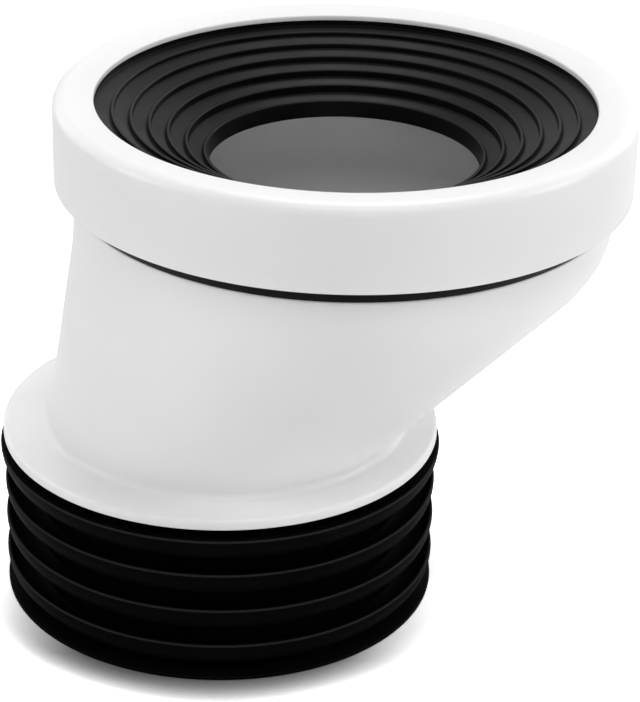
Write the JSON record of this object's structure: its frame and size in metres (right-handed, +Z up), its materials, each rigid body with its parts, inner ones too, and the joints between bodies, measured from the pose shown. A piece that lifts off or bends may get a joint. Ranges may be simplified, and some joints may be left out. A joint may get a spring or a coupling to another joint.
{
  "type": "toilet pan connector",
  "caption": "Offset pan connector: an oblique plastic body with a finned rubber outlet seal and, under a collar, a ribbed rubber inlet seal. It joins a toilet pan to a soil pipe.",
  "frame": {"origin": "on the outlet axis, at the flat outlet end", "axes": "+Z up along the outlet axis towards the inlet, +X towards the side to which the inlet is offset"},
  "size_m": [0.1582, 0.143, 0.1342],
  "materials": {
    "body_plastic": "white moulded plastic, satin",
    "outlet_rubber": "black moulded rubber, slight sheen",
    "inlet_rubber": "black moulded rubber, slight sheen",
    "collar_plastic": "white moulded plastic, satin"
  },
  "bodies": {
    "root": {"body": "body_plastic", "outlet_seal": "outlet_rubber", "inlet_seal": "inlet_rubber", "retaining_collar": "collar_plastic"}
  },
  "joints": []
}
